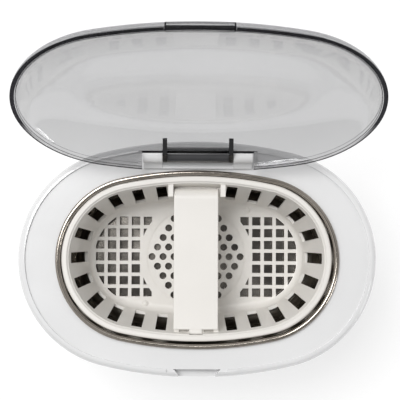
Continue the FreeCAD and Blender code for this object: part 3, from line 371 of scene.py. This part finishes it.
dress(moulded("dark_plastic", (0.025, 0.025, 0.027), (0.35, 0.5), grain=0.08),
      "display_module", "transformer", "power_transistor", "power_inlet")
dress(moulded("grey_panel", (0.42, 0.43, 0.45), (0.2, 0.3), grain=0.03), "control_panel")
dress(moulded("display_smoke", (0.012, 0.012, 0.015), (0.04, 0.09), grain=0.005, coat=1.0), "display_window")
dress(moulded("grey_button", (0.72, 0.73, 0.75), (0.35, 0.45), grain=0.06),
      "button_power", "button_minus", "button_plus")
dress(moulded("piezo_ceramic", (0.42, 0.38, 0.32), (0.4, 0.6), grain=0.1), "piezo_rings")
dress(barrel_smoke(), "lid_hinge_barrel")
dress(laminate(), "control_board", "driver_board")
# the last colour is the painted shade of the rim, web and tab lines
dress(smoked("smoked_clear", (0.765, 0.765, 0.768), (0.32, 0.32, 0.33), (0.03, 0.03, 0.035)), "lid_shell")


# ---- floor, light and camera ------------------------------------------------------------------
def floor():
    """A pale table that glows a little, so that it stays white beside the object."""
    size = 3.0
    mesh = bpy.data.meshes.new("floor")
    corners = [(-size, -size, 0), (size, -size, 0), (size, size, 0), (-size, size, 0)]
    mesh.from_pydata(corners, [], [(0, 1, 2, 3)])
    plane = bpy.data.objects.new("floor", mesh)
    bpy.context.scene.collection.objects.link(plane)
    tree = Tree("floor_white")
    shader = tree.add("ShaderNodeBsdfPrincipled", Base_Color=rgba((0.4, 0.4, 0.4)), Roughness=0.9,
                      Emission_Color=rgba((1.0, 1.0, 1.0)), Emission_Strength=0.62)
    mesh.materials.append(tree.finish(shader.outputs[0]))


def softbox(name, place, aim, size, watts, roll=0.0):
    """A rectangular light, turned by roll degrees about the line to its aim."""
    data = bpy.data.lights.new(name, "AREA")
    data.shape = "RECTANGLE"
    data.size, data.size_y = size
    data.energy = watts
    light = bpy.data.objects.new(name, data)
    light.location = place
    towards = (Vector(aim) - Vector(place)).to_track_quat("-Z", "Y")
    light.rotation_euler = (towards @ Quaternion((0, 0, 1), math.radians(roll))).to_euler()
    bpy.context.scene.collection.objects.link(light)


def world():
    """A white tent: brightest high up on the left and behind, darker near the table and straight overhead."""
    sky = bpy.data.worlds.new("studio")
    sky.use_nodes = True
    nodes, links = sky.node_tree.nodes, sky.node_tree.links
    coords = nodes.new("ShaderNodeTexCoord").outputs["Generated"]
    split = nodes.new("ShaderNodeSeparateXYZ")
    links.new(coords, split.inputs[0])
    ramp = nodes.new("ShaderNodeValToRGB")
    links.new(split.outputs["Z"], ramp.inputs[0])
    stops = ((0.00, 0.25), (0.25, 0.7), (0.80, 1.0), (0.93, 0.9), (0.985, 0.2))
    ramp.color_ramp.elements.remove(ramp.color_ramp.elements[0])
    for i, (place, grey) in enumerate(stops):
        element = ramp.color_ramp.elements[0] if i == 0 else ramp.color_ramp.elements.new(place)
        element.position = place
        element.color = rgba((grey, grey, grey))
    facing = nodes.new("ShaderNodeVectorMath")
    facing.operation = "DOT_PRODUCT"
    links.new(coords, facing.inputs[0])
    facing.inputs[1].default_value = (-0.62, 0.62, 0.48)
    side = nodes.new("ShaderNodeMapRange")
    links.new(facing.outputs["Value"], side.inputs["Value"])
    for socket, number in (("From Min", -0.5), ("From Max", 0.8), ("To Min", 0.28), ("To Max", 0.85)):
        side.inputs[socket].default_value = number
    links.new(ramp.outputs[0], nodes["Background"].inputs["Color"])
    links.new(side.outputs[0], nodes["Background"].inputs["Strength"])
    bpy.context.scene.world = sky


def camera():
    """Almost straight down on the deck. The turn about the vertical and the roll nearly cancel."""
    above_deck = Vector((-5.95, 18.03, 704.9)) * MM
    elevation, turn, roll = (math.radians(a) for a in (88.5, 23.54, 23.79))
    level = math.cos(elevation)
    forward = Vector((math.sin(turn) * level, math.cos(turn) * level, -math.sin(elevation)))
    right = Vector((math.cos(turn), -math.sin(turn), 0))
    up = right.cross(forward)
    rolled_right = math.cos(roll) * right + math.sin(roll) * up
    rolled_up = -math.sin(roll) * right + math.cos(roll) * up
    data = bpy.data.cameras.new("camera")
    data.lens = 107.3
    data.sensor_width = 36.0
    eye = bpy.data.objects.new("camera", data)
    axes = Matrix((rolled_right, rolled_up, -forward)).transposed().to_4x4()
    eye.matrix_world = Matrix.Translation(Vector((0, MID_Y, DECK_Z)) + above_deck) @ axes
    bpy.context.scene.collection.objects.link(eye)
    bpy.context.scene.camera = eye


floor()
world()
softbox("key", (-0.95, 0.85, 3.2), (0, 0, 0.1), (1.5, 1.5), 70)
# the strip shows as the long highlight inside the lid's left end
softbox("strip", (0.95, -0.41, 0.36), (-0.085, 0.045, 0.14), (0.1, 0.5), 1.6, roll=-43)
camera()
bpy.context.scene.view_settings.view_transform = "Standard"
